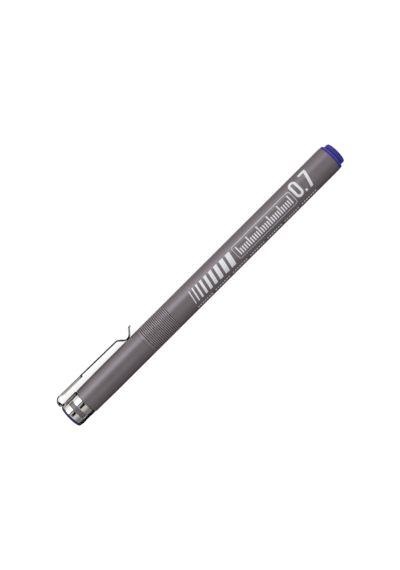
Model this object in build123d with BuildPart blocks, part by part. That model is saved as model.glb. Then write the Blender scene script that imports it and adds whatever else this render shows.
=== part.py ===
"""A capped fineliner pen lying on a table, in millimetres.

X runs along the pen's axis, with the cap and the nib towards +X, and Z is up. The origin is on the
axis, halfway along the capped pen, so the table is one body radius below it. The pen has rolled
until an edge of its clip meets the table, which points the clip to -Y and a little down.
"""

import math
import os

from build123d import *

# Barrel: a plain tube with a collar and a grooved grip behind its front face
body_radius = 5.25
barrel_wall = 1.05
barrel_length = 93.2
barrel_rear_chamfer = 0.20
collar_length = 0.85
groove_count = 18
groove_pitch = 0.70
groove_depth = 0.20

# Cap: a neck for the clasp, a shoulder, a short taper and a straight body as wide as the barrel
cap_length = 30.3
cap_wall = 0.85
cap_shoulder_setback = 0.15
cap_taper_length = 10.0
cap_end_wall = 0.9
edge_break = 0.12
seam_gap = 0.15
neck_length = 7.2
neck_wall = 1.1
neck_bore_depth = 6.0
mouth_chamfer = 0.25

# Crown: the coloured plug in the neck
crown_height = 0.80
crown_setback = 0.17
crown_chamfer = 0.22
crown_stem_length = 5.8

# Clasp: the windowed steel sleeve on the neck
clasp_setback = 0.33
clasp_thickness = 0.32
clasp_end_gap = 0.05
front_band_length = 2.4
window_length = 1.9
rear_band_length = 2.6
window_half_angle = 48.6
window_corner_radius = 0.3

# Clip: one strip with a foot on the clasp, a bend, an arched root, a tongue and a flared tip
strip_thickness = 0.40
strip_width = 4.0
foot_rise = 0.30
foot_setback = 0.4
foot_blend = 0.8
bend_setback = 0.05
lower_bend_radius = 0.75
flex_gap = 0.03
root_width = 5.0
root_length = 9.0
root_arch_rise = 0.50
root_blend = 1.1
tongue_width = 3.4
tongue_blend = 0.6
tongue_corner_radius = 0.9
arm_gap_at_bend = 2.65
arm_gap_at_dip = 2.25
dip_run = 2.35
contact_run = 2.1
flare_run = 2.2
tip_run = 0.75
tip_overhang = 0.10
tip_gap = 2.58
contact_gap = 0.08
dip_round = 1.2
contact_round = 2.0
tip_round = 0.8

# Front section: the nose that the cap covers, pressed into the barrel
section_insert_length = 13.5
section_shoulder_length = 3.0
section_wall = 1.12
section_hollow_depth = 8.0
nose_radius = 2.5
nose_length = 5.4
cone_length = 4.6
cone_tip_wall = 0.40
cone_tip_chamfer = 0.2

# Nib: holder, steel sleeve and point, fed by a fibre wick
nib_radius = 0.35
nib_exposed = 0.5
nib_tip_chamfer = 0.12
nib_room = 2.35
sleeve_wall = 0.22
sleeve_exposed = 2.4
sleeve_seat_depth = 2.6
holder_radius = 1.0
holder_proud = 0.3
holder_front_length = 3.6
holder_flange_radius = 1.2
holder_flange_length = 3.0
relay_radius = 1.0
relay_depth = 8.0

# Ink store: a fibre rod in a film sleeve, held between the section and the tail plug
film_thickness = 0.12

# Tail plug: the coloured plug in the barrel's rear end
tail_flange_setback = 0.22
tail_flange_height = 0.95
tail_flange_chamfer = 0.15
knob_setback = 1.01
knob_height = 2.5
knob_chamfer = 0.55
tail_stem_length = 8.7
tail_stem_wall = 1.1

# Inner cap: the liner that seals the nose
liner_wall = 0.7
liner_base_height = 1.5
liner_length = 14.0
liner_floor = 1.0

# Fits, all on the radius
press_clearance = 0.05
seat_clearance = 0.10
insert_clearance = 0.08
film_clearance = 0.25
fibre_clearance = 0.03
bore_clearance = 0.03
wick_clearance = 0.25
seal_clearance = 0.08

# Cuts run past the faces that they open by this much
overrun = 1.0

# Stations along the axis, from the crown back to the tail
capped_front_length = crown_height + neck_length + cap_length + seam_gap
pen_length = capped_front_length + barrel_length + tail_flange_height + knob_height
crown_x = pen_length / 2
neck_x = crown_x - crown_height
shoulder_x = neck_x - neck_length
mouth_x = shoulder_x - cap_length
front_x = mouth_x - seam_gap
rear_x = front_x - barrel_length
knob_x = rear_x - tail_flange_height
tail_x = knob_x - knob_height
cap_bore_end_x = shoulder_x - cap_end_wall

# Radii that follow from the walls and the fits
barrel_bore = body_radius - barrel_wall
cap_shoulder_radius = body_radius - cap_shoulder_setback
cap_bore = body_radius - cap_wall
clasp_radius = body_radius - clasp_setback
clasp_bore = clasp_radius - clasp_thickness
neck_radius = clasp_bore - press_clearance
neck_bore = neck_radius - neck_wall
crown_radius = clasp_radius - crown_setback
section_radius = cap_bore - seat_clearance
insert_radius = barrel_bore - insert_clearance
tail_flange_radius = body_radius - tail_flange_setback
knob_radius = body_radius - knob_setback
film_radius = barrel_bore - film_clearance
film_bore = film_radius - film_thickness
reservoir_radius = film_bore - fibre_clearance
sleeve_bore = nib_radius + bore_clearance
sleeve_radius = sleeve_bore + sleeve_wall

# Stations inside the nose, from the floor of the liner back to where the cap's seat ends
nib_tip_x = cap_bore_end_x - liner_floor - nib_room
sleeve_tip_x = nib_tip_x - nib_exposed
holder_x = sleeve_tip_x - sleeve_exposed
sleeve_end_x = holder_x - sleeve_seat_depth
holder_step_x = holder_x - holder_front_length
holder_end_x = holder_step_x - holder_flange_length
cone_tip_x = holder_x - holder_proud
cone_x = cone_tip_x - cone_length
nose_x = cone_x - nose_length
seat_end_x = nose_x - section_shoulder_length
insert_end_x = front_x - section_insert_length
relay_end_x = insert_end_x - relay_depth
stem_end_x = rear_x + tail_stem_length

# Clip outline, as places along the axis and heights above it, for the middle of the strip
half_strip = strip_thickness / 2
clasp_front_x = neck_x - clasp_end_gap
window_front_x = clasp_front_x - front_band_length
window_rear_x = window_front_x - window_length
clasp_rear_x = window_rear_x - rear_band_length
foot_top = clasp_radius + foot_rise
foot_middle = foot_top - half_strip
bend_x = crown_x - bend_setback
lower_start_x = bend_x - half_strip - lower_bend_radius
cut_height = foot_middle + lower_bend_radius
arm_middle = body_radius + arm_gap_at_bend + half_strip
upper_bend_radius = arm_middle - cut_height - flex_gap
upper_middle_x = bend_x - half_strip - upper_bend_radius
tip_x = mouth_x - tip_overhang
flare_x = tip_x + tip_run
contact_front_x = flare_x + flare_run
contact_x = contact_front_x + contact_run
dip_x = contact_x + dip_run
arm_drop = arm_gap_at_bend - arm_gap_at_dip
arm_slope = math.degrees(math.atan2(arm_drop, upper_middle_x - dip_x))
arm_start_x = upper_middle_x - upper_bend_radius * math.sin(math.radians(arm_slope))
arm_start_height = cut_height + flex_gap + upper_bend_radius * math.cos(math.radians(arm_slope))
contact_height = body_radius + contact_gap + half_strip
tip_height = body_radius + tip_gap + half_strip
tongue_start = root_blend + root_length + tongue_blend


def arm_point(distance):
    """Place and height of the arm's middle, at a distance along it from the bend."""
    slope = math.radians(arm_slope)
    return (arm_start_x - distance * math.cos(slope), arm_start_height - distance * math.sin(slope))


# Rest: the pen rolls until the lower edge of the clip's root is level with the barrel's underside
root_edge_height = arm_point(root_blend)[1] + half_strip - root_arch_rise
root_edge_reach = math.hypot(root_edge_height, root_width / 2)
root_edge_angle = math.atan2(root_width / 2, root_edge_height)
clip_dip_angle = math.degrees(math.asin(body_radius / root_edge_reach) - root_edge_angle)

# The clip's side view is drawn with X along the pen and the second axis out through the clip
clip_out = Vector(0, -1, 0).rotate(Axis.X, clip_dip_angle)
clip_side = Plane(origin=(0, 0, 0), x_dir=(1, 0, 0), z_dir=Vector(1, 0, 0).cross(clip_out))


def strip_plane(distance):
    """Plane square to the clip's arm, with its second axis pointing away from the pen."""
    origin = clip_side.from_local_coords((*arm_point(distance), 0))
    heading = clip_side.from_local_coords(Vector(-1, 0, 0).rotate(Axis.Z, arm_slope))
    return Plane(origin=origin, x_dir=clip_side.z_dir, z_dir=heading)


def arched_strip(width, top, rise, thickness):
    """Closed outline of a strip's section, whose edges fall by rise below its middle."""
    edge = width / 2
    bottom = top - thickness
    with BuildLine() as outline:
        upper = ThreePointArc((-edge, top - rise), (0, top), (edge, top - rise))
        lower = ThreePointArc((edge, bottom - rise), (0, bottom), (-edge, bottom - rise))
        Line(upper @ 1, lower @ 0)
        Line(lower @ 1, upper @ 0)
    return outline


os.makedirs("parts", exist_ok=True)

# Barrel tube: the outline of its wall, with the grip as a row of crests and grooves, turned once
grip_front_x = front_x - collar_length
grip_rear_x = grip_front_x - groove_count * groove_pitch
grip_line = [(grip_front_x, body_radius)]
for groove in range(groove_count):
    crest_x = grip_front_x - groove * groove_pitch
    grip_line.append((crest_x - groove_pitch / 2, body_radius - groove_depth))
    grip_line.append((crest_x - groove_pitch, body_radius))
with BuildPart() as barrel_tube:
    with BuildSketch(Plane.XY) as barrel_sketch:
        with BuildLine():
            Polyline(
                (rear_x, body_radius),
                (rear_x, barrel_bore),
                (front_x, barrel_bore),
                (front_x, body_radius),
                *grip_line,
                close=True,
            )
        make_face()
        outer_corners = barrel_sketch.vertices().group_by(Axis.Y)[-1].sort_by(Axis.X)
        chamfer(outer_corners[0], length=barrel_rear_chamfer)
        chamfer(outer_corners[-1], length=edge_break)
    revolve(axis=Axis.X)
barrel_tube.part.label = "barrel_tube"
export_step(barrel_tube.part, "parts/barrel_tube.step")

# Cap shell: neck, shoulder, taper and body, bored from the mouth and from the neck
with BuildPart() as cap_shell:
    with BuildSketch(Plane.XY):
        with BuildLine():
            Polyline(
                (mouth_x, 0),
                (mouth_x, body_radius),
                (shoulder_x - cap_taper_length, body_radius),
                (shoulder_x, cap_shoulder_radius),
                (shoulder_x, neck_radius),
                (neck_x, neck_radius),
                (neck_x, 0),
                close=True,
            )
        make_face()
    revolve(axis=Axis.X)
    wide_rims = cap_shell.edges().filter_by(GeomType.CIRCLE).filter_by(lambda e: e.radius > neck_radius)
    chamfer([wide_rims.sort_by(Axis.X)[0], wide_rims.sort_by(Axis.X)[-1]], length=edge_break)
    with BuildSketch(Plane.YZ.offset(mouth_x)):
        Circle(cap_bore)
    extrude(amount=cap_bore_end_x - mouth_x, mode=Mode.SUBTRACT)
    bore_rims = cap_shell.edges().filter_by(GeomType.CIRCLE).filter_by(lambda e: e.radius <= cap_bore)
    chamfer(bore_rims.sort_by(Axis.X)[0], length=mouth_chamfer)
    with BuildSketch(Plane.YZ.offset(neck_x)):
        Circle(neck_bore)
    extrude(amount=-neck_bore_depth, mode=Mode.SUBTRACT)
cap_shell.part.label = "cap_shell"
export_step(cap_shell.part, "parts/cap_shell.step")

# Crown: a low disc with a broken rim, on a stem in the neck
with BuildPart() as cap_crown:
    with BuildSketch(Plane.YZ.offset(neck_x)):
        Circle(crown_radius)
    extrude(amount=crown_height)
    chamfer(cap_crown.edges().filter_by(GeomType.CIRCLE).sort_by(Axis.X)[-1], length=crown_chamfer)
    with BuildSketch(Plane.YZ.offset(neck_x)):
        Circle(neck_bore - press_clearance)
    extrude(amount=-crown_stem_length)
cap_crown.part.label = "cap_crown"
export_step(cap_crown.part, "parts/cap_crown.step")

# Clasp: the sleeve is punched through for its two windows, and the foot of the clip lies on it
window_width = 2 * clasp_radius * math.sin(math.radians(window_half_angle))
with BuildPart() as clip_clasp:
    with BuildSketch(Plane.YZ.offset(clasp_rear_x)):
        Circle(clasp_radius)
        Circle(clasp_bore, mode=Mode.SUBTRACT)
    extrude(amount=clasp_front_x - clasp_rear_x)
    with BuildSketch(clip_side):
        with Locations(((window_front_x + window_rear_x) / 2, 0)):
            RectangleRounded(window_length, window_width, window_corner_radius)
    extrude(amount=clasp_radius + overrun, both=True, mode=Mode.SUBTRACT)
    foot_plane = Plane(origin=(clasp_rear_x + foot_setback, 0, 0), x_dir=-clip_side.z_dir, z_dir=(1, 0, 0))
    foot_arch_rise = foot_top - math.sqrt(foot_top**2 - (strip_width / 2) ** 2)
    with BuildSketch(foot_plane):
        add(arched_strip(strip_width, foot_top, foot_arch_rise, strip_thickness))
        make_face()
    foot_length = lower_start_x - foot_blend - foot_plane.origin.X
    extrude(amount=foot_length)
    with BuildSketch(foot_plane.offset(foot_length)):
        add(arched_strip(strip_width, foot_top, foot_arch_rise, strip_thickness))
        make_face()
    with BuildSketch(foot_plane.offset(foot_length + foot_blend)):
        with Locations((0, foot_middle)):
            Rectangle(strip_width, strip_thickness)
    loft()
    with BuildSketch(clip_side):
        with BuildLine():
            JernArc((lower_start_x, foot_middle), (1, 0), lower_bend_radius, 90)
        trace(line_width=strip_thickness)
    extrude(amount=strip_width / 2, both=True)
clip_clasp.part.label = "clip_clasp"
export_step(clip_clasp.part, "parts/clip_clasp.step")

# Clip arm: upper bend, arched root and tongue, which meet each other across short blends
with BuildPart() as clip_arm:
    with BuildSketch(clip_side):
        with BuildLine():
            JernArc((bend_x - half_strip, cut_height + flex_gap), (0, 1), upper_bend_radius, 90 + arm_slope)
        trace(line_width=strip_thickness)
    extrude(amount=strip_width / 2, both=True)
    with BuildSketch(strip_plane(0)):
        Rectangle(strip_width, strip_thickness)
    with BuildSketch(strip_plane(root_blend)):
        add(arched_strip(root_width, half_strip, root_arch_rise, strip_thickness))
        make_face()
    loft()
    with BuildSketch(strip_plane(root_blend)):
        add(arched_strip(root_width, half_strip, root_arch_rise, strip_thickness))
        make_face()
    extrude(amount=root_length)
    with BuildSketch(strip_plane(root_blend + root_length)):
        add(arched_strip(root_width, half_strip, root_arch_rise, strip_thickness))
        make_face()
    with BuildSketch(strip_plane(tongue_start)):
        Rectangle(tongue_width, strip_thickness)
    loft()
    with BuildSketch(clip_side):
        with BuildLine():
            FilletPolyline(
                arm_point(tongue_start),
                arm_point((arm_start_x - dip_x) / math.cos(math.radians(arm_slope))),
                (contact_x, contact_height),
                (contact_front_x, contact_height),
                (flare_x, tip_height),
                (tip_x, tip_height),
                radius=(dip_round, contact_round, contact_round, tip_round),
            )
        trace(line_width=strip_thickness)
    extrude(amount=tongue_width / 2, both=True)
    tip_face = clip_arm.faces().sort_by(Axis.X)[0]
    tip_corners = tip_face.edges().sort_by(Edge.length)[:2]
    fillet(tip_corners, radius=tongue_corner_radius)
clip_arm.part.label = "clip_arm"
export_step(clip_arm.part, "parts/clip_arm.step")

# Front section: cap seat, shoulder, nose and cone, bored for the nib and its wick
cone_tip_radius = holder_radius + bore_clearance + cone_tip_wall
with BuildPart() as front_section:
    with BuildSketch(Plane.XY) as section_sketch:
        with BuildLine():
            Polyline(
                (insert_end_x, 0),
                (insert_end_x, insert_radius),
                (front_x, insert_radius),
                (front_x, section_radius),
                (seat_end_x, section_radius),
                (nose_x, nose_radius),
                (cone_x, nose_radius),
                (cone_tip_x, cone_tip_radius),
                (cone_tip_x, 0),
                close=True,
            )
        make_face()
        tip_rim = section_sketch.vertices().sort_by_distance((cone_tip_x, cone_tip_radius))[0]
        chamfer(tip_rim, length=cone_tip_chamfer)
    revolve(axis=Axis.X)
    with BuildSketch(Plane.YZ.offset(cone_tip_x)):
        Circle(holder_radius + bore_clearance)
    extrude(amount=holder_step_x - cone_tip_x, mode=Mode.SUBTRACT)
    with BuildSketch(Plane.YZ.offset(insert_end_x)):
        Circle(relay_radius + wick_clearance)
    extrude(amount=holder_step_x - insert_end_x, mode=Mode.SUBTRACT)
    with BuildSketch(Plane.YZ.offset(insert_end_x)):
        Circle(insert_radius - section_wall)
    extrude(amount=section_hollow_depth, mode=Mode.SUBTRACT)
front_section.part.label = "front_section"
export_step(front_section.part, "parts/front_section.step")

# Nib holder: a stepped bush whose flange stops behind the cone
with BuildPart() as nib_holder:
    with BuildSketch(Plane.YZ.offset(holder_step_x)):
        Circle(holder_radius)
    extrude(amount=holder_front_length)
    with BuildSketch(Plane.YZ.offset(holder_step_x)):
        Circle(holder_flange_radius)
    extrude(amount=-holder_flange_length)
    with BuildSketch(Plane.YZ.offset(holder_end_x)):
        Circle(sleeve_bore)
    extrude(amount=holder_x - holder_end_x, mode=Mode.SUBTRACT)
    with BuildSketch(Plane.YZ.offset(holder_x)):
        Circle(sleeve_radius + bore_clearance)
    extrude(amount=-sleeve_seat_depth, mode=Mode.SUBTRACT)
nib_holder.part.label = "nib_holder"
export_step(nib_holder.part, "parts/nib_holder.step")

# Nib sleeve: the steel tube round the point
with BuildPart() as nib_sleeve:
    with BuildSketch(Plane.YZ.offset(sleeve_end_x)):
        Circle(sleeve_radius)
        Circle(sleeve_bore, mode=Mode.SUBTRACT)
    extrude(amount=sleeve_tip_x - sleeve_end_x)
    sleeve_rims = nib_sleeve.edges().filter_by(GeomType.CIRCLE).filter_by(lambda e: e.radius > sleeve_bore)
    chamfer(sleeve_rims.sort_by(Axis.X)[-1], length=sleeve_wall / 2)
nib_sleeve.part.label = "nib_sleeve"
export_step(nib_sleeve.part, "parts/nib_sleeve.step")

# Nib core: the point, as long as the sleeve and the holder together
with BuildPart() as nib_core:
    with BuildSketch(Plane.YZ.offset(holder_end_x)):
        Circle(nib_radius)
    extrude(amount=nib_tip_x - holder_end_x)
    chamfer(nib_core.edges().filter_by(GeomType.CIRCLE).sort_by(Axis.X)[-1], length=nib_tip_chamfer)
nib_core.part.label = "nib_core"
export_step(nib_core.part, "parts/nib_core.step")

# Relay core: the wick from the nib into the ink store
with BuildPart() as relay_core:
    with BuildSketch(Plane.YZ.offset(relay_end_x)):
        Circle(relay_radius)
    extrude(amount=holder_end_x - relay_end_x)
relay_core.part.label = "relay_core"
export_step(relay_core.part, "parts/relay_core.step")

# Ink reservoir: a fibre rod with a socket for the wick
with BuildPart() as ink_reservoir:
    with BuildSketch(Plane.YZ.offset(stem_end_x)):
        Circle(reservoir_radius)
    extrude(amount=insert_end_x - stem_end_x)
    with BuildSketch(Plane.YZ.offset(insert_end_x)):
        Circle(relay_radius + fibre_clearance)
    extrude(amount=-relay_depth, mode=Mode.SUBTRACT)
ink_reservoir.part.label = "ink_reservoir"
export_step(ink_reservoir.part, "parts/ink_reservoir.step")

# Reservoir film: the sleeve round the fibre rod
with BuildPart() as reservoir_film:
    with BuildSketch(Plane.YZ.offset(stem_end_x)):
        Circle(film_radius)
        Circle(film_bore, mode=Mode.SUBTRACT)
    extrude(amount=insert_end_x - stem_end_x)
reservoir_film.part.label = "reservoir_film"
export_step(reservoir_film.part, "parts/reservoir_film.step")

# Tail plug: a hollow stem in the bore, a flange on the rear face and a knob with a broken rim
with BuildPart() as tail_plug:
    with BuildSketch(Plane.YZ.offset(rear_x)):
        Circle(insert_radius)
    extrude(amount=tail_stem_length)
    with BuildSketch(Plane.YZ.offset(knob_x)):
        Circle(tail_flange_radius)
    extrude(amount=tail_flange_height)
    chamfer(tail_plug.edges().filter_by(GeomType.CIRCLE).sort_by(Axis.X)[0], length=tail_flange_chamfer)
    with BuildSketch(Plane.YZ.offset(tail_x)):
        Circle(knob_radius)
    extrude(amount=knob_height)
    chamfer(tail_plug.edges().filter_by(GeomType.CIRCLE).sort_by(Axis.X)[0], length=knob_chamfer)
    with BuildSketch(Plane.YZ.offset(stem_end_x)):
        Circle(insert_radius - tail_stem_wall)
    extrude(amount=-tail_stem_length, mode=Mode.SUBTRACT)
tail_plug.part.label = "tail_plug"
export_step(tail_plug.part, "parts/tail_plug.step")

# Inner cap: a cup on a wide base, whose bore closes round the nose
liner_bore = nose_radius + seal_clearance
with BuildPart() as inner_cap:
    with BuildSketch(Plane.YZ.offset(cap_bore_end_x)):
        Circle(cap_bore - press_clearance)
    extrude(amount=-liner_base_height)
    with BuildSketch(Plane.YZ.offset(cap_bore_end_x)):
        Circle(liner_bore + liner_wall)
    extrude(amount=-liner_length)
    with BuildSketch(Plane.YZ.offset(cap_bore_end_x - liner_length)):
        Circle(liner_bore)
    extrude(amount=liner_length - liner_floor, mode=Mode.SUBTRACT)
inner_cap.part.label = "inner_cap"
export_step(inner_cap.part, "parts/inner_cap.step")

# Places that the joints use
pivot = clip_side.from_local_coords((bend_x, cut_height, 0))
print("pen length", round(pen_length, 3))
print("clip dips below level by", round(clip_dip_angle, 3), "degrees, arm slopes by", round(arm_slope, 3))
print("clip pivot", pivot, "axis", -clip_side.z_dir)
print("plain barrel from", round(grip_rear_x, 3), "to", round(rear_x + barrel_rear_chamfer, 3))
print("nib tip", round(nib_tip_x, 3), "cap mouth", round(mouth_x, 3))
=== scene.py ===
"""Looks of the fineliner pen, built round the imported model.

X runs along the pen with the cap towards +X, and Z is up. Places and sizes on the pen are written in
millimetres and turned into metres when a mesh is made. Those of the materials and the stage are in metres.
"""

import math

import bmesh
import bpy
from mathutils import Matrix, Vector


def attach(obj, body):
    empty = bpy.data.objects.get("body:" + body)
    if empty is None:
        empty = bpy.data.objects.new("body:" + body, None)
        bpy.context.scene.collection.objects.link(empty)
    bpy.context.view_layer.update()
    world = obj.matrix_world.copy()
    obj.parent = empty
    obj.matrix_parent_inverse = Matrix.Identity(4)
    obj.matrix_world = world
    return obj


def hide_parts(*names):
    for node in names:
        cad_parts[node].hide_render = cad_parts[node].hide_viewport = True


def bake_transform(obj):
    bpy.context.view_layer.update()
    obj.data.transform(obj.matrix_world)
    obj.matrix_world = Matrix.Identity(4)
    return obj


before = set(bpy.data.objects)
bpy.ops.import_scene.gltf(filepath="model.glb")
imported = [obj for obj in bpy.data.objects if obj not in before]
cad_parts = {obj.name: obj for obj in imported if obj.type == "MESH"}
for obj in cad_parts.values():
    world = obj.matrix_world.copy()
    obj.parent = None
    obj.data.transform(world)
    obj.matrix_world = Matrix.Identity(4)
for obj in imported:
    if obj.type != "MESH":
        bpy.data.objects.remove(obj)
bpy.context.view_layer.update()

MM = 0.001

# The pen lies rolled so that its clip points to OUT, and FACING is square to that, towards the camera
DIP = math.radians(22.146)
ALONG = Vector((1, 0, 0))
OUT = Vector((0, -math.cos(DIP), -math.sin(DIP)))
FACING = Vector((0, -math.sin(DIP), math.cos(DIP)))

# Sizes that both a mesh and a material or the print use, in millimetres
BODY_R = 5.25
CREST_R, GROOVE_DEPTH = 5.33, 0.20


def smooth(share):
    """Eased step from 0 to 1."""
    share = min(max(share, 0), 1)
    return share * share * (3 - 2 * share)


# Materials


class Nodes:
    """A material's node tree, with short calls for adding and joining nodes."""

    def __init__(self, name):
        self.material = bpy.data.materials.new(name)
        self.material.use_nodes = True
        self.tree = self.material.node_tree
        self.shader = self.tree.nodes["Principled BSDF"]
        self.place = self.add("ShaderNodeTexCoord").outputs["Object"]

    def add(self, kind, **settings):
        node = self.tree.nodes.new(kind)
        for key, value in settings.items():
            setattr(node, key, value)
        return node

    def join(self, output, socket):
        self.tree.links.new(output, socket)

    def math(self, operation, first, second):
        """One operation on two values, each a number or another node's output."""
        node = self.add("ShaderNodeMath", operation=operation)
        for socket, value in zip(node.inputs, (first, second)):
            if isinstance(value, (int, float)):
                socket.default_value = value
            else:
                self.join(value, socket)
        return node.outputs[0]

    def noise(self, scale, detail=3.0, roughness=0.5, stretch=(1, 1, 1)):
        mapping = self.add("ShaderNodeMapping")
        mapping.inputs["Scale"].default_value = stretch
        self.join(self.place, mapping.inputs["Vector"])
        node = self.add("ShaderNodeTexNoise")
        node.inputs["Scale"].default_value = scale
        node.inputs["Detail"].default_value = detail
        node.inputs["Roughness"].default_value = roughness
        self.join(mapping.outputs["Vector"], node.inputs["Vector"])
        return node.outputs["Fac"]

    def along(self):
        """Place along the pen's axis."""
        parts = self.add("ShaderNodeSeparateXYZ")
        self.join(self.place, parts.inputs["Vector"])
        return parts.outputs["X"]

    def reach(self, axes):
        """Distance from the origin along the axes that have a 1."""
        flat = self.add("ShaderNodeVectorMath", operation="MULTIPLY")
        flat.inputs[1].default_value = axes
        self.join(self.place, flat.inputs[0])
        length = self.add("ShaderNodeVectorMath", operation="LENGTH")
        self.join(flat.outputs["Vector"], length.inputs[0])
        return length.outputs["Value"]

    def ramp(self, value, *stops):
        """Colour by a value from 0 to 1, with stops of (value, colour)."""
        node = self.add("ShaderNodeValToRGB")
        while len(node.color_ramp.elements) < len(stops):
            node.color_ramp.elements.new(0.5)
        for element, (place, colour) in zip(node.color_ramp.elements, stops):
            element.position = place
            element.color = (*colour, 1)
        self.join(value, node.inputs["Fac"])
        return node.outputs["Color"]

    def between(self, value, low, high, start=0.0, end=1.0):
        """Low to high as the value goes from start to end."""
        node = self.add("ShaderNodeMapRange")
        for socket, number in zip(("From Min", "From Max", "To Min", "To Max"), (start, end, low, high)):
            node.inputs[socket].default_value = number
        self.join(value, node.inputs["Value"])
        return node.outputs["Result"]

    def shaded(self, colour, tone):
        """The colour times a tone, darker below 1 and lighter above it."""
        node = self.add("ShaderNodeMix", data_type="RGBA", blend_type="MULTIPLY")
        node.inputs["Factor"].default_value = 1.0
        self.join(colour, node.inputs["A"])
        self.join(tone, node.inputs["B"])
        return node.outputs["Result"]

    def bump(self, height, strength, distance, below=None):
        node = self.add("ShaderNodeBump")
        node.inputs["Strength"].default_value = strength
        node.inputs["Distance"].default_value = distance
        self.join(height, node.inputs["Height"])
        if below:
            self.join(below, node.inputs["Normal"])
        return node.outputs["Normal"]


# Painted shade in the grip's grooves and a painted highlight on its crests, and the places along the pen
# where they set in and end
GROOVE_PAINTED_SHADE, CREST_PAINTED_HIGHLIGHT = 0.0, 2.05
GRIP_SETS_IN, GRIP_ENDS = (0.0156, 0.0157), (0.0291, 0.0292)


def grip_painted_light(n):
    """Tone by radius on the grip, from painted shade in the grooves to a painted highlight on the crests and
    the grip's plain band, and 1 elsewhere.
    """
    past_start = n.between(n.along(), 0, 1, *GRIP_SETS_IN)
    before_end = n.between(n.along(), 1, 0, *GRIP_ENDS)
    inside = n.math("MULTIPLY", past_start, before_end)
    groove, crest = ((CREST_R - share * GROOVE_DEPTH) * MM for share in (0.65, 0.25))
    tone = n.between(n.reach((0, 1, 1)), GROOVE_PAINTED_SHADE, CREST_PAINTED_HIGHLIGHT, groove, crest)
    change = n.math("MULTIPLY", inside, n.math("SUBTRACT", tone, 1.0))
    return n.math("ADD", 1.0, change)


def satin_plastic(name, dark, light, rough, specular, grain=9000.0, grip=False, sheen=(1, 1, 1), painted_light=()):
    """Moulded plastic with a fine grain, faint clouding and uneven gloss.

    Painted light is a list of tones along the pen for painted highlight and shade, as (place along the pen in
    millimetres, tone).
    """
    n = Nodes(name)
    cloud = n.noise(160.0, detail=4.0)
    colour = n.ramp(cloud, (0.3, dark), (0.7, light))
    # The grip gets painted shade in its grooves and a painted highlight on its crests
    if grip:
        colour = n.shaded(colour, grip_painted_light(n))
    # Painted highlight and shade by place along the pen
    if painted_light:
        start, end = painted_light[0][0], painted_light[-1][0]
        stops = [((x - start) / (end - start), (tone, tone, tone)) for x, tone in painted_light]
        share = n.between(n.along(), 0, 1, start * MM, end * MM)
        colour = n.shaded(colour, n.ramp(share, *stops))
    n.join(colour, n.shader.inputs["Base Color"])
    n.shader.inputs["Specular Tint"].default_value = (*sheen, 1)
    handling = n.noise(420.0, detail=5.0, roughness=0.6, stretch=(0.35, 1, 1))
    n.join(n.between(handling, rough - 0.05, rough + 0.05), n.shader.inputs["Roughness"])
    skin = n.bump(n.noise(grain, detail=2.0), strength=0.2, distance=0.00002)
    n.join(n.bump(cloud, strength=0.1, distance=0.0001, below=skin), n.shader.inputs["Normal"])
    n.shader.inputs["Specular IOR Level"].default_value = specular
    return n.material


def steel(name, tint, rough):
    """Polished stainless strip with fine rolling lines along the pen and faint smudges."""
    n = Nodes(name)
    lines = n.noise(9000.0, stretch=(0.02, 1, 1))
    smudge = n.noise(500.0, detail=4.0, roughness=0.6)
    shade = [c * 0.93 for c in tint]
    n.join(n.ramp(smudge, (0.35, shade), (0.65, tint)), n.shader.inputs["Base Color"])
    gloss = n.math("ADD", n.between(lines, -0.02, 0.02), n.between(smudge, rough - 0.03, rough + 0.04))
    n.join(gloss, n.shader.inputs["Roughness"])
    n.join(n.bump(lines, strength=0.04, distance=0.00002), n.shader.inputs["Normal"])
    n.shader.inputs["Metallic"].default_value = 1.0
    return n.material


def fibre(name, dark, light, rough):
    """Bundled fibre: fine streaks along the pen with an uneven tone."""
    n = Nodes(name)
    streak = n.noise(6000.0, stretch=(0.03, 1, 1))
    n.join(n.ramp(streak, (0.3, dark), (0.7, light)), n.shader.inputs["Base Color"])
    n.join(n.between(streak, rough - 0.1, rough), n.shader.inputs["Roughness"])
    n.join(n.bump(streak, strength=0.5, distance=0.00004), n.shader.inputs["Normal"])
    return n.material


GREY_DARK, GREY_LIGHT, GREY_SHEEN = (0.142, 0.121, 0.126), (0.157, 0.135, 0.139), (0.93, 0.87, 1.0)
grey = satin_plastic("grey_satin", GREY_DARK, GREY_LIGHT, 0.32, 0.8, grip=True, sheen=GREY_SHEEN)
section_grey = satin_plastic("section_grey", GREY_DARK, GREY_LIGHT, 0.32, 0.7, sheen=GREY_SHEEN)

# Painted light on the tail: its rims get a painted highlight, and painted shade darkens the flange's middle
# and the knob's root on both sides of the rear rim
RIM_PAINTED_HIGHLIGHT, FLANGE_PAINTED_SHADE, ROOT_PAINTED_SHADOW, KNOB = 1.0, 0.28, 0.34, 0.57
TAIL_PAINTED_LIGHT = [
    (-64.20, RIM_PAINTED_HIGHLIGHT),
    (-64.28, RIM_PAINTED_HIGHLIGHT),
    (-64.36, FLANGE_PAINTED_SHADE),
    (-64.68, FLANGE_PAINTED_SHADE),
    (-64.78, RIM_PAINTED_HIGHLIGHT),
    (-65.10, RIM_PAINTED_HIGHLIGHT),
    (-65.20, KNOB),
    (-65.35, KNOB),
    (-65.45, ROOT_PAINTED_SHADOW),
    (-65.80, ROOT_PAINTED_SHADOW),
    (-66.10, KNOB),
    (-67.55, KNOB),
]
BLUE_DARK, BLUE_LIGHT, BLUE_GRAIN = (0.104, 0.088, 0.639), (0.115, 0.097, 0.702), 5000.0
# The tail gets a painted highlight on its rims and painted shade beside them
blue = satin_plastic("blue_gloss", BLUE_DARK, BLUE_LIGHT, 0.36, 0.15, BLUE_GRAIN, painted_light=TAIL_PAINTED_LIGHT)
crown_blue = satin_plastic("crown_blue", (0.034, 0.025, 0.155), (0.040, 0.029, 0.178), 0.36, 0.08, BLUE_GRAIN)
TRANSLUCENCY = {"Subsurface Weight": 0.7, "Subsurface Radius": (0.4, 0.4, 1), "Subsurface Scale": 0.006}
for socket, value in TRANSLUCENCY.items():
    blue.node_tree.nodes["Principled BSDF"].inputs[socket].default_value = value

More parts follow.
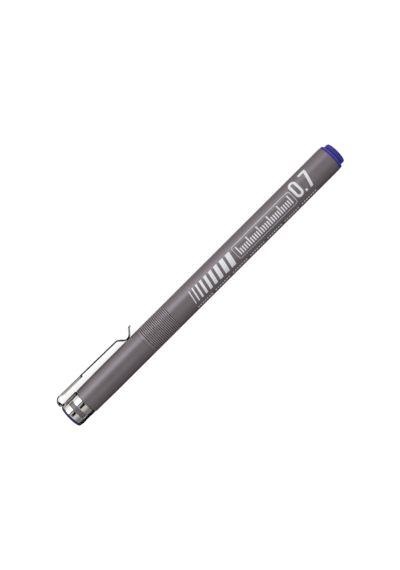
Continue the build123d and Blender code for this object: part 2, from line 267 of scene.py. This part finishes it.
black = satin_plastic("black_satin", (0.010, 0.010, 0.012), (0.016, 0.016, 0.018), 0.42, 0.4)
natural = satin_plastic("natural_liner", (0.66, 0.65, 0.60), (0.72, 0.71, 0.67), 0.45, 0.4)
clip_steel = steel("polished_steel", (0.60, 0.57, 0.54), 0.07)
nib_steel = steel("drawn_steel", (0.60, 0.60, 0.59), 0.22)
nib_fibre = fibre("inked_point", (0.02, 0.015, 0.12), (0.04, 0.03, 0.22), 0.75)
ink_fibre = fibre("inked_store", (0.02, 0.016, 0.16), (0.05, 0.04, 0.30), 0.9)
film = satin_plastic("store_film", (0.70, 0.70, 0.73), (0.78, 0.78, 0.80), 0.2, 0.5)
print_white = satin_plastic("print_white", (0.86, 0.86, 0.90), (0.92, 0.92, 0.95), 0.5, 0.3)

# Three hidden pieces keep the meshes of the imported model
KEPT_NODES = {"relay_core": nib_fibre, "ink_reservoir": ink_fibre, "reservoir_film": film}
for node, material in KEPT_NODES.items():
    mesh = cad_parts[node].data
    mesh.materials.clear()
    mesh.materials.append(material)


# Meshes


def finish_piece(bm, name, material, body=None, node=None, sharp=40.0):
    """Makes an object of the mesh, shaded smooth between its sharp edges, and puts it on its body."""
    bmesh.ops.recalc_face_normals(bm, faces=bm.faces)
    mesh = bpy.data.meshes.new(name)
    bm.to_mesh(mesh)
    bm.free()
    for polygon in mesh.polygons:
        polygon.use_smooth = True
    mesh.set_sharp_from_angle(angle=math.radians(sharp))
    mesh.materials.append(material)
    piece = bpy.data.objects.new(name, mesh)
    bpy.context.scene.collection.objects.link(piece)
    if node:
        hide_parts(node)
    if body:
        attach(piece, body)
    return piece


def rounded(corners, steps=6):
    """Points of a line through the corners (along, across, round), with an arc at each rounded corner."""
    points = []
    for i, corner in enumerate(corners):
        here = Vector(corner[:2])
        size = corner[2] if len(corner) > 2 else 0
        if not size or i in (0, len(corners) - 1):
            points.append(here)
            continue
        back = (Vector(corners[i - 1][:2]) - here).normalized()
        ahead = (Vector(corners[i + 1][:2]) - here).normalized()
        half = back.angle(ahead) / 2
        centre = here + (back + ahead).normalized() * (size / math.sin(half))
        start = here + back * (size / math.tan(half)) - centre
        swing = start.angle_signed(here + ahead * (size / math.tan(half)) - centre)
        for step in range(steps + 1):
            spoke = start.copy()
            spoke.rotate(Matrix.Rotation(-swing * step / steps, 2))
            points.append(centre + spoke)
    return points


ON_AXIS = 1e-6


def lathe(name, corners, material, body, node, turns=128):
    """Solid of revolution about the pen's axis. Its outline ends on the axis, or closes on itself."""
    outline = rounded(corners)
    spin = [2 * math.pi * k / turns for k in range(turns)]
    bm = bmesh.new()
    rings = []
    for along, across in outline:
        x, r = along * MM, across * MM
        if across < ON_AXIS:
            rings.append([bm.verts.new((x, 0, 0))] * turns)
        else:
            rings.append([bm.verts.new((x, r * math.cos(a), r * math.sin(a))) for a in spin])
    pairs = list(zip(rings, rings[1:]))
    if outline[0][1] > ON_AXIS:
        pairs.append((rings[-1], rings[0]))
    for one, two in pairs:
        for k in range(turns):
            quad = [one[k - 1], one[k], two[k], two[k - 1]]
            bm.faces.new(list(dict.fromkeys(quad)))
    finish_piece(bm, name, material, body, node)


def shell(grid, kept, closed, inward):
    """Sheet of quads through a grid of points, with a second skin at inward(row, column, point) and walls."""
    bm = bmesh.new()
    outer = [[bm.verts.new(p * MM) for p in row] for row in grid]
    inner = [[bm.verts.new(inward(i, k, p) * MM) for k, p in enumerate(row)] for i, row in enumerate(grid)]
    columns = len(grid[0])
    for i in range(len(grid) - 1):
        for k in range(columns if closed else columns - 1):
            if kept(i, k):
                m = (k + 1) % columns
                bm.faces.new((outer[i][k], outer[i][m], outer[i + 1][m], outer[i + 1][k]))
                bm.faces.new((inner[i][k], inner[i + 1][k], inner[i + 1][m], inner[i][m]))
    twins = {o: t for a, b in zip(outer, inner) for o, t in zip(a, b)}
    for edge in [e for e in bm.edges if e.is_boundary and e.verts[0] in twins]:
        a, b = edge.verts
        bm.faces.new((a, b, twins[b], twins[a]))
    for vert in [v for v in bm.verts if not v.link_faces]:
        bm.verts.remove(vert)
    bmesh.ops.recalc_face_normals(bm, faces=bm.faces)
    return bm


SHARP_EDGE = math.radians(50)


def soften(bm, width):
    """Rounds the sharp edges."""
    edges = [e for e in bm.edges if len(e.link_faces) == 2 and e.calc_face_angle() > SHARP_EDGE]
    bmesh.ops.bevel(
        bm, geom=edges, offset=width * MM, segments=2, profile=0.5, affect="EDGES", clamp_overlap=True
    )


# Turned pieces: the corners of their outlines are (along, across, round)

# Barrel: the grip's rings have rounded crests and grooves. A groove's points are shares of pitch and depth.
# The points at -64.0 and 15.55 keep the shading of the long plain stretch level.
BARREL_REAR, BARREL_FRONT, BARREL_BORE = -64.20, 29.20, 4.20
GRIP_START, RING_PITCH, RINGS = 15.65, 0.70, 18
GROOVE = ((0.16, 0), (0.24, 0.12), (0.34, 0.75), (0.5, 1), (0.66, 0.75), (0.76, 0.12), (0.84, 0))
barrel_line = [(BARREL_REAR, BARREL_BORE), (BARREL_REAR, BODY_R, 0.10), (-64.0, BODY_R)]
barrel_line += [(15.55, BODY_R), (GRIP_START, BODY_R)]
for ring in range(RINGS):
    start = GRIP_START + RING_PITCH * ring
    for share, depth in GROOVE:
        barrel_line.append((start + RING_PITCH * share, CREST_R - GROOVE_DEPTH * depth))
    barrel_line.append((start + RING_PITCH, CREST_R if ring < RINGS - 1 else BODY_R))
barrel_line += [(BARREL_FRONT, BODY_R, 0.05), (BARREL_FRONT, BARREL_BORE)]
lathe("barrel", barrel_line, grey, "barrel", "barrel_tube")

# Cap: bore, mouth, body with its taper, neck and the bore for the crown
cap_line = [(58.65, 0), (58.65, 4.40), (29.50, 4.40), (29.25, 4.65)]
cap_line += [(29.25, BODY_R, 0.05), (49.55, BODY_R, 90), (59.55, 5.10, 0.12)]
cap_line += [(59.55, 4.55), (66.62, 4.55), (66.62, 3.45), (60.75, 3.45), (60.75, 0)]
lathe("cap", cap_line, grey, "cap", "cap_shell")

# Crown: stem and visible band
crown_line = [(60.95, 0), (60.95, 3.40), (66.62, 3.40)]
crown_line += [(66.62, 4.75), (67.55, 4.75, 0.35), (67.55, 0)]
lathe("crown", crown_line, crown_blue, "cap", "cap_crown")

# Tail: hollow spigot in the barrel, flange and knob
tail_line = [(-64.10, 0), (-64.10, 3.02), (-55.40, 3.02), (-55.40, 4.12, 0.3), (BARREL_REAR, 4.12)]
tail_line += [(BARREL_REAR, 5.14, 0.06), (-65.35, 5.14, 0.12)]
tail_line += [(-65.35, 4.33, 0.08), (-67.55, 4.33, 0.48), (-67.55, 0)]
lathe("tail", tail_line, blue, "barrel", "tail_plug")

# Section: spigot in the barrel, nose, and the bores for the holder and the wick
section_line = [(15.60, 3.0), (15.60, 4.12, 0.3), (29.10, 4.12), (29.10, 4.30)]
section_line += [(39.1, 4.30, 1.0), (42.1, 2.5, 1.0), (47.5, 2.5, 0.8), (52.1, 1.43, 0.2)]
section_line += [(52.1, 1.03), (48.8, 1.03), (48.8, 1.25), (23.6, 1.25), (23.6, 3.0)]
lathe("section", section_line, section_grey, "barrel", "front_section")

holder_line = [(45.8, 0.38), (45.8, 1.2), (48.8, 1.2), (48.8, 1.0), (52.4, 1.0, 0.15)]
holder_line += [(52.4, 0.63), (49.8, 0.63), (49.8, 0.38)]
lathe("holder", holder_line, black, "barrel", "nib_holder", 64)

sleeve_line = [(49.8, 0.38), (49.8, 0.6), (54.8, 0.6, 0.11), (54.8, 0.38)]
lathe("sleeve", sleeve_line, nib_steel, "barrel", "nib_sleeve", 64)

point_line = [(45.8, 0), (45.8, 0.35), (55.3, 0.35, 0.15), (55.3, 0)]
lathe("point", point_line, nib_fibre, "barrel", "nib_core", 48)

# Liner: flange at the cap's closed end, and the tube that seals the nose
liner_line = [(58.65, 0), (58.65, 4.35, 0.1), (57.15, 4.35, 0.1), (57.15, 3.28, 0.3)]
liner_line += [(44.65, 3.28, 0.15), (44.65, 2.58, 0.15), (57.65, 2.58), (57.65, 0)]
lathe("liner", liner_line, natural, "cap", "inner_cap")


# Clasp: a sleeve of two slightly crowned bands, joined by straps between its two windows

CLASP_R, CLASP_BORE, CROWNING = 4.96, 4.60, 0.07
REAR, WINDOW_REAR, WINDOW_FRONT, FRONT = 59.80, 62.40, 64.30, 66.58
WINDOW_HALF_ANGLE, WINDOW_CORNER = 48.6, 0.3
PANES, STRAPS = 24, 20
BAND_SHARES = (0, 0.03, 0.07, 0.15, 0.27, 0.4, 0.5, 0.6, 0.73, 0.85, 0.93, 0.97, 1)
CORNER_SHARES = (0.1, 0.3, 0.6, 1)


def band_rows(low, high):
    return [low + (high - low) * share for share in BAND_SHARES]


corner_rows = [WINDOW_CORNER * share for share in CORNER_SHARES]
rows = band_rows(REAR, WINDOW_REAR) + [WINDOW_REAR + c for c in corner_rows]
rows += [WINDOW_FRONT - c for c in reversed(corner_rows)] + band_rows(WINDOW_FRONT, FRONT)


def sleeve_radius(x):
    for low, high in ((REAR, WINDOW_REAR), (WINDOW_FRONT, FRONT)):
        if low <= x <= high:
            return CLASP_R - CROWNING * ((2 * x - low - high) / (high - low)) ** 2
    return CLASP_R - CROWNING


def window_edge(x):
    """Half angle of the window at a place along the pen, smaller in its rounded corners."""
    depth = min(max(min(x - WINDOW_REAR, WINDOW_FRONT - x), 0), WINDOW_CORNER)
    lost = WINDOW_CORNER - math.sqrt(WINDOW_CORNER**2 - (WINDOW_CORNER - depth) ** 2)
    return WINDOW_HALF_ANGLE - math.degrees(lost / CLASP_R)


sleeve_grid = []
for x in rows:
    edge = window_edge(x)
    angles = []
    for half in (0, 180):
        angles += [half - edge + 2 * edge * k / PANES for k in range(PANES)]
        angles += [half + edge + (180 - 2 * edge) * k / STRAPS for k in range(STRAPS)]
    row = []
    for angle in map(math.radians, angles):
        row.append(x * ALONG + sleeve_radius(x) * (math.cos(angle) * FACING + math.sin(angle) * OUT))
    sleeve_grid.append(row)


def in_wall(i, k):
    in_window = WINDOW_REAR <= rows[i] < WINDOW_FRONT
    return not (in_window and k % (PANES + STRAPS) < PANES)


def sleeve_inside(i, k, point):
    return rows[i] * ALONG + (point - rows[i] * ALONG).normalized() * CLASP_BORE


bm = shell(sleeve_grid, in_wall, True, sleeve_inside)
soften(bm, 0.035)
finish_piece(bm, "clasp", clip_steel, "cap", "clip_clasp", 60)


# Clip: one strip from its foot on the clasp, round the bend and along the arm to the flared tip. A station
# is the place of the strip's middle, as (along, out), with the strip's width and arch there.

STRIP = 0.50
FOOT_OUT, FOOT_WIDTH, FOOT_ARCH = 5.02, 4.0, -0.398
FOOT_ROWS = (60.20, 61.20, 62.20, 63.20, 64.20, 65.20, 65.30, 65.40, 65.50, 65.60, 65.70, 66.20)
FOOT_FLAT, FOOT_EASE = 65.70, 0.5
TURN_CENTRE, TURN_R, TURN_STEPS = (66.55, 5.77), 0.75, 8
BEND_CENTRE, BEND_R, BEND_STEPS = (65.0, 5.88), 2.30, 24
SLOPE = math.radians(0.806)
ROOT_WIDTH, ROOT_ARCH = 5.0, 0.5
ROOT_EASE, ROOT_LENGTH, ROOT_STEPS = 1.1, 9.0, 8
SHOULDER_START, SHOULDER_LENGTH = 10.25, 0.3
EASE_STEPS = 7
TONGUE_WIDTH, TONGUE_ARCH, TONGUE_STEPS = 3.4, 0.05, 12
TIP_CORNER, TIP_MARGIN = 0.30, 0.05
TIP_SHARES = (0.0, 0.35, 0.6, 0.8, 0.93, 1.0)
CLOSEST = 0.02
ACROSS = 13

stations = []
for x in FOOT_ROWS:
    stations.append((Vector((x, FOOT_OUT)), FOOT_WIDTH, FOOT_ARCH * smooth((FOOT_FLAT - x) / FOOT_EASE)))

# The turn up from the foot, and the bend back over it
for k in range(TURN_STEPS + 1):
    turn = math.radians(90 * k / TURN_STEPS - 90)
    spot = Vector(TURN_CENTRE) + TURN_R * Vector((math.cos(turn), math.sin(turn)))
    stations.append((spot, FOOT_WIDTH, 0))
for k in range(BEND_STEPS + 1):
    turn = math.radians(90 * k / BEND_STEPS) + SLOPE * k / BEND_STEPS
    spot = Vector(BEND_CENTRE) + BEND_R * Vector((math.cos(turn), math.sin(turn)))
    stations.append((spot, FOOT_WIDTH, 0))

# The arm: it widens and arches into the root, and narrows at the shoulder to the tongue
arm_start = Vector((BEND_CENTRE[0] - BEND_R * math.sin(SLOPE), BEND_CENTRE[1] + BEND_R * math.cos(SLOPE)))
arm_way = Vector((-math.cos(SLOPE), -math.sin(SLOPE)))
for k in range(1, EASE_STEPS + 1):
    share = smooth(k / EASE_STEPS)
    spot = arm_start + arm_way * (ROOT_EASE * k / EASE_STEPS)
    stations.append((spot, FOOT_WIDTH + (ROOT_WIDTH - FOOT_WIDTH) * share, ROOT_ARCH * share))
for k in range(1, ROOT_STEPS + 1):
    spot = arm_start + arm_way * (ROOT_EASE + ROOT_LENGTH * k / ROOT_STEPS)
    stations.append((spot, ROOT_WIDTH, ROOT_ARCH))
for k in range(1, EASE_STEPS + 1):
    share = smooth(k / EASE_STEPS)
    spot = arm_start + arm_way * (SHOULDER_START + SHOULDER_LENGTH * k / EASE_STEPS)
    width = ROOT_WIDTH - (ROOT_WIDTH - TONGUE_WIDTH) * share
    stations.append((spot, width, ROOT_ARCH - (ROOT_ARCH - TONGUE_ARCH) * share))

# The tongue: straight to the dip that touches the cap, then up to the tip
tongue = [tuple(stations[-1][0]), (36.40, 7.70, 1.2), (34.05, 5.53, 1.9), (32.20, 5.53, 1.9)]
tongue_line = rounded(tongue + [(30.05, 8.15, 0.8), (29.15, 8.15)], 10)
for k in range(1, TONGUE_STEPS):
    spot = tongue_line[0].lerp(tongue_line[1], k / TONGUE_STEPS)
    stations.append((spot, TONGUE_WIDTH, TONGUE_ARCH))
for spot in tongue_line[1:-1]:
    stations.append((spot, TONGUE_WIDTH, TONGUE_ARCH))

# The tip's rounded corners
end, before = tongue_line[-1], tongue_line[-2]
tip_way = (before - end).normalized()
stations.append((end + tip_way * (TIP_CORNER + TIP_MARGIN), TONGUE_WIDTH, TONGUE_ARCH))
for share in TIP_SHARES:
    left = TIP_CORNER * (1 - share)
    width = TONGUE_WIDTH - 2 * (TIP_CORNER - math.sqrt(TIP_CORNER**2 - (TIP_CORNER - left) ** 2))
    stations.append((end + tip_way * left, width, TONGUE_ARCH))

spots = [s[0] for s in stations]
stations = [s for i, s in enumerate(stations) if i == 0 or (s[0] - spots[i - 1]).length > CLOSEST]
strip_grid, strip_under = [], []
for i, (spot, width, arch) in enumerate(stations):
    ahead = stations[min(i + 1, len(stations) - 1)][0] - stations[max(i - 1, 0)][0]
    side = Vector((-ahead.y, ahead.x)).normalized()
    flat = side.x * ALONG + side.y * OUT
    upper, lower = [], []
    for k in range(ACROSS):
        share = 2 * k / (ACROSS - 1) - 1
        middle = spot.x * ALONG + spot.y * OUT + arch * share * share * flat + share * width / 2 * FACING
        square = (width / 2 * flat - 2 * arch * share * FACING).normalized() * STRIP / 2
        upper.append(middle + square)
        lower.append(middle - square)
    strip_grid.append(upper)
    strip_under.append(lower)
bm = shell(strip_grid, lambda i, k: True, False, lambda i, k, p: strip_under[i][k])
soften(bm, 0.05)
clip = finish_piece(bm, "clip", clip_steel, node="clip_arm", sharp=20)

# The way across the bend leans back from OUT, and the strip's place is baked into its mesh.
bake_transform(clip)


# Print on the barrel, in plain generic marks

INK_THICKNESS, INK_SUNK = 0.022, 0.01
PRINT_STEP = math.radians(2.5)


def printed(name, faces):
    """Thin closed ink on the barrel. A face's corners are (along the pen, angle round it from FACING)."""
    bm = bmesh.new()
    for face in faces:
        bm.faces.new([bm.verts.new((x, angle, 0)) for x, angle in face])
    bmesh.ops.remove_doubles(bm, verts=bm.verts, dist=1e-5)
    top = bmesh.ops.extrude_face_region(bm, geom=bm.faces[:])["geom"]
    for vert in [v for v in top if isinstance(v, bmesh.types.BMVert)]:
        vert.co.z = INK_THICKNESS
    for vert in bm.verts:
        x, angle, lift = vert.co
        ray = math.cos(angle) * FACING + math.sin(angle) * OUT
        vert.co = (x * ALONG + (BODY_R - INK_SUNK + lift) * ray) * MM
    finish_piece(bm, name, print_white, "barrel")


def angle_at(height):
    """Angle round the barrel of a height above its middle line as the camera sees it."""
    return math.asin(height / BODY_R)


def patch(x0, x1, low, high, lean=0.0):
    """Bar between two places and two angles. Its top leans along the reading direction by lean."""
    faces = []
    steps = math.ceil((high - low) / PRINT_STEP)
    for k in range(steps):
        a, b = (low + (high - low) * j / steps for j in (k, k + 1))
        da, db = (lean * j / steps for j in (k, k + 1))
        faces.append([(x0 - da, a), (x1 - da, a), (x1 - db, b), (x0 - db, b)])
    return faces


def oblong(x0, x1, low, high, corner, side_steps, steps=8):
    """Closed line round a box with rounded corners, as (along the pen, angle)."""
    points = []
    centres = ((x1 - corner, high - corner / BODY_R, 0), (x0 + corner, high - corner / BODY_R, 90))
    centres += ((x0 + corner, low + corner / BODY_R, 180), (x1 - corner, low + corner / BODY_R, 270))
    for x, angle, start in centres:
        for k in range(steps + 1):
            turn = math.radians(start + 90 * k / steps)
            points.append((x + corner * math.cos(turn), angle + corner / BODY_R * math.sin(turn)))
        if start in (90, 270):
            reach = (high - low - 2 * corner / BODY_R) * (1 if start == 270 else -1)
            points += [(points[-1][0], points[-1][1] + reach * k / side_steps) for k in range(1, side_steps)]
    return points


def outlined(x0, x1, low, high, corner, line):
    """Line of one width round a box with rounded corners."""
    steps = math.ceil((high - low) / PRINT_STEP)
    rings = math.ceil(line / BODY_R / PRINT_STEP)
    lines = []
    for k in range(rings + 1):
        d = line * k / rings
        lines.append(oblong(x0 + d, x1 - d, low + d / BODY_R, high - d / BODY_R, corner - d, steps))
    faces = []
    for out, inside in zip(lines, lines[1:]):
        faces += [[out[k - 1], out[k], inside[k], inside[k - 1]] for k in range(len(out))]
    return faces


# Line size, as a plain number: a nought, a point, and a seven of two bars and a leaning leg
NUMBER_STROKE, POINT_HEIGHT = 1.0, 0.95
number_low, number_high = angle_at(-2.45), angle_at(3.85)
bar_under = number_high - NUMBER_STROKE / BODY_R
number = outlined(-48.9, -45.5, number_low, number_high, 1.69, NUMBER_STROKE)
number += patch(-50.35, -49.45, number_low, number_low + POINT_HEIGHT / BODY_R)
number += patch(-54.4, -53.25, bar_under, number_high)
number += patch(-53.25, -50.95, bar_under, number_high)
number += patch(-52.75, -51.6, number_low, bar_under, 1.65)
printed("print_number", number)

# Row of leaning bars of growing width
BARS, BAR_GAP, BAR_LEAN = 9, 1.15, 1.1
bars = []
bar_x, bar_low, bar_high = 6.7, angle_at(-3.0), angle_at(2.0)
for k in range(BARS):
    width = 0.35 + 0.22 * k
    bars += patch(bar_x - width, bar_x, bar_low, bar_high, BAR_LEAN)
    bar_x -= width + BAR_GAP
printed("print_bars", bars)

# Thin rounded frame round a row of ticks, every fifth of them taller
FRAME_LINE, FRAME_CORNER = 0.16, 0.9
TICKS, TICK_START, TICK_PITCH, TICK_WIDTH = 26, -17.1, 1.03, 0.52
TALL_TICK, SHORT_TICK = 3.7, 2.3
tick_low = angle_at(-2.1)
marks = outlined(-44.7, -15.8, angle_at(-2.95), angle_at(2.35), FRAME_CORNER, FRAME_LINE)
for k in range(TICKS):
    tall = TALL_TICK if k % 5 == 0 else SHORT_TICK
    x = TICK_START - k * TICK_PITCH
    marks += patch(x - TICK_WIDTH, x, tick_low, tick_low + tall / BODY_R)
printed("print_frame", marks)

# Fine row of dashes low on the side, in groups of seven
DASH_PLACES, DASH_GROUP = 56, 8
DASH_START, DASH_PITCH, DASH_WIDTH, DASH_LEAN = 7.0, 1.09, 0.62, 0.1
dashes = []
for k in range(DASH_PLACES):
    if k % DASH_GROUP != DASH_GROUP - 1:
        x = DASH_START - k * DASH_PITCH
        dashes += patch(x - DASH_WIDTH, x, angle_at(-4.62), angle_at(-4.28), DASH_LEAN)
printed("print_dashes", dashes)


# Stage: floor, cards, soft lights and the camera


def stage_sheet(name, line, start, end, material):
    """Sheet through a line of (Y, Z) points, from one place along the pen to another."""
    mesh = bpy.data.meshes.new(name)
    count = len(line)
    corners = [(x, y, z) for x in (start, end) for y, z in line]
    mesh.from_pydata(corners, [], [(k, k + 1, count + k + 1, count + k) for k in range(count - 1)])
    mesh.materials.append(material)
    plane = bpy.data.objects.new(name, mesh)
    bpy.context.scene.collection.objects.link(plane)
    return plane


def seen_rays(tree):
    """1 for the rays that show the background: from the camera, and from gloss or glass."""
    path = tree.nodes.new("ShaderNodeLightPath")
    value = path.outputs["Is Camera Ray"]
    for name in ("Is Glossy Ray", "Is Transmission Ray"):
        node = tree.nodes.new("ShaderNodeMath")
        node.operation = "MAXIMUM"
        tree.links.new(value, node.inputs[0])
        tree.links.new(path.outputs[name], node.inputs[1])
        value = node.outputs[0]
    return value


def level(tree, value, low, high):
    """Low to high as the value goes from 0 to 1."""
    node = tree.nodes.new("ShaderNodeMapRange")
    node.inputs["To Min"].default_value = low
    node.inputs["To Max"].default_value = high
    tree.links.new(value, node.inputs["Value"])
    return node.outputs["Result"]


def dull(name, shade, glow):
    """Surface without gloss, in an even grey, that also glows."""
    n = Nodes(name)
    n.shader.inputs["Base Color"].default_value = (shade, shade, shade, 1)
    n.shader.inputs["Roughness"].default_value = 0.9
    n.shader.inputs["Specular IOR Level"].default_value = 0.0
    n.shader.inputs["Emission Color"].default_value = (*glow, 1)
    return n


# Floor: it fades to white away from the pen, for the rays that show it
FLOOR_Z, FLOOR_HALF, CARD_LIFT = -0.00537, 3, 0.00005
floor = dull("pale_floor", 0.62, (1, 1, 1))
fading = floor.between(floor.reach((1, 1, 0)), 0.78, 1.0, 0.25, 0.9)
floor.join(floor.math("MULTIPLY", seen_rays(floor.tree), fading), floor.shader.inputs["Emission Strength"])
floor_ends = [(-FLOOR_HALF, FLOOR_Z), (FLOOR_HALF, FLOOR_Z)]
stage_sheet("floor", floor_ends, -FLOOR_HALF, FLOOR_HALF, floor.material)


def reflection_card(name, line, start, end, glow=(0, 0, 0)):
    """Card that only reflections show, dark or grey by its glow: a painted reflection, which casts no shadow
    and blocks no light.
    """
    n = dull(name, 0.02, glow)
    n.shader.inputs["Emission Strength"].default_value = 1.0
    card = stage_sheet(name, line, start, end, n.material)
    card.visible_camera = False
    card.visible_diffuse = False
    card.visible_shadow = False
    card.visible_transmission = False


def swung(elevation, distance):
    """(Y, Z) place at an elevation from the clip's side over the top."""
    turn = math.radians(elevation)
    return -distance * math.cos(turn), distance * math.sin(turn)


def facing_line(distance, low, high):
    """Line square to the camera's view, between two places towards OUT."""
    return [(distance * FACING + across * OUT).yz for across in (low, high)]


def floor_line(low, high):
    """Line just above the floor, between two places along Y."""
    return [(y, FLOOR_Z + CARD_LIFT) for y in (low, high)]


# Dark cards near the camera, seen only in reflections: painted dark reflections on the clasp and the clip's
# edges
# The slot between bend_card and root_card lights the clip's bend and leaves the clasp's dark line
SLOT_START = 0.1332
reflection_card("lens_card", facing_line(0.33, -0.085, 0.046), 0.055, SLOT_START)
reflection_card("bend_card", facing_line(0.33, -0.085, 0.0112), SLOT_START, 0.19)
reflection_card("root_card", facing_line(0.33, 0.0175, 0.046), SLOT_START, 0.19)
reflection_card("dip_card", facing_line(0.332, -0.06, 0.08), 0.035, 0.082)
# Dark dome behind the lamps, seen only in reflections: painted dark surroundings
reflection_card("dark_tent", [swung(44 + 8.5 * k, 1.0) for k in range(17)], -1.3, 1.3)
# Strips on the floor, seen only in reflections: a dark floor on the far side, the pen's painted shadow beside
# it on the clip's side, and painted shade glowing grey further out
reflection_card("far_dark_reflection", floor_line(0.0005, 1.0), -0.4, 0.4)
reflection_card("near_painted_shadow", floor_line(-0.006, -0.0005), -0.4, 0.0655)
reflection_card("foot_painted_shadow", floor_line(-0.0046, -0.0005), 0.0655, 0.069)
reflection_card("near_painted_shade", floor_line(-0.015, -0.006), -0.4, 0.4, (0.42, 0.39, 0.365))

# World: white where it is seen, and faint as a light
world = bpy.data.worlds.new("studio")
bpy.context.scene.world = world
world.use_nodes = True
tree = world.node_tree
sky = tree.nodes["Background"]
sky.inputs["Color"].default_value = (1, 1, 1, 1)
tree.links.new(level(tree, seen_rays(tree), 0.05, 1.0), sky.inputs["Strength"])


def softbox(name, elevation, distance, size, radiance, along=0.0):
    """Area light facing the pen's axis. Elevation runs from the clip's side over the top."""
    lamp = bpy.data.lights.new(name, "AREA")
    lamp.shape = "RECTANGLE"
    lamp.size, lamp.size_y = size
    lamp.energy = radiance * math.pi * size[0] * size[1]
    box = bpy.data.objects.new(name, lamp)
    bpy.context.scene.collection.objects.link(box)
    way = Vector((0, *swung(elevation, 1)))
    turn = Matrix((ALONG, ALONG.cross(-way), way)).transposed().to_4x4()
    box.matrix_world = Matrix.Translation(way * distance + ALONG * along) @ turn


softbox("clip_side", 19, 0.62, (0.9, 0.42), 2.55, 0.28)
softbox("overhead", 78.5, 0.7, (1.4, 0.744), 0.90)
softbox("sloping", 114, 0.7, (1.4, 0.19), 0.62)
softbox("far_side", 145, 0.8, (1.4, 0.70), 0.30)

# Camera: square to the clip's plane, turned so that the pen lies across the picture's diagonal
CAMERA_DISTANCE, CAMERA_TILT = 0.3259, math.radians(44.91)
AIM_RIGHT, AIM_UP = -1.22, -0.155
camera = bpy.data.objects.new("camera", bpy.data.cameras.new("camera"))
bpy.context.scene.collection.objects.link(camera)
right = -math.cos(CAMERA_TILT) * ALONG - math.sin(CAMERA_TILT) * OUT
up = -math.sin(CAMERA_TILT) * ALONG + math.cos(CAMERA_TILT) * OUT
aim = right * (AIM_RIGHT * MM) + up * (AIM_UP * MM)
turn = Matrix((right, up, FACING)).transposed().to_4x4()
camera.matrix_world = Matrix.Translation(aim + FACING * CAMERA_DISTANCE) @ turn
camera.data.sensor_fit = "VERTICAL"
camera.data.sensor_height = 36
camera.data.lens = 57.0
camera.data.clip_start = 0.01
bpy.context.scene.camera = camera
bpy.context.scene.view_settings.view_transform = "Standard"
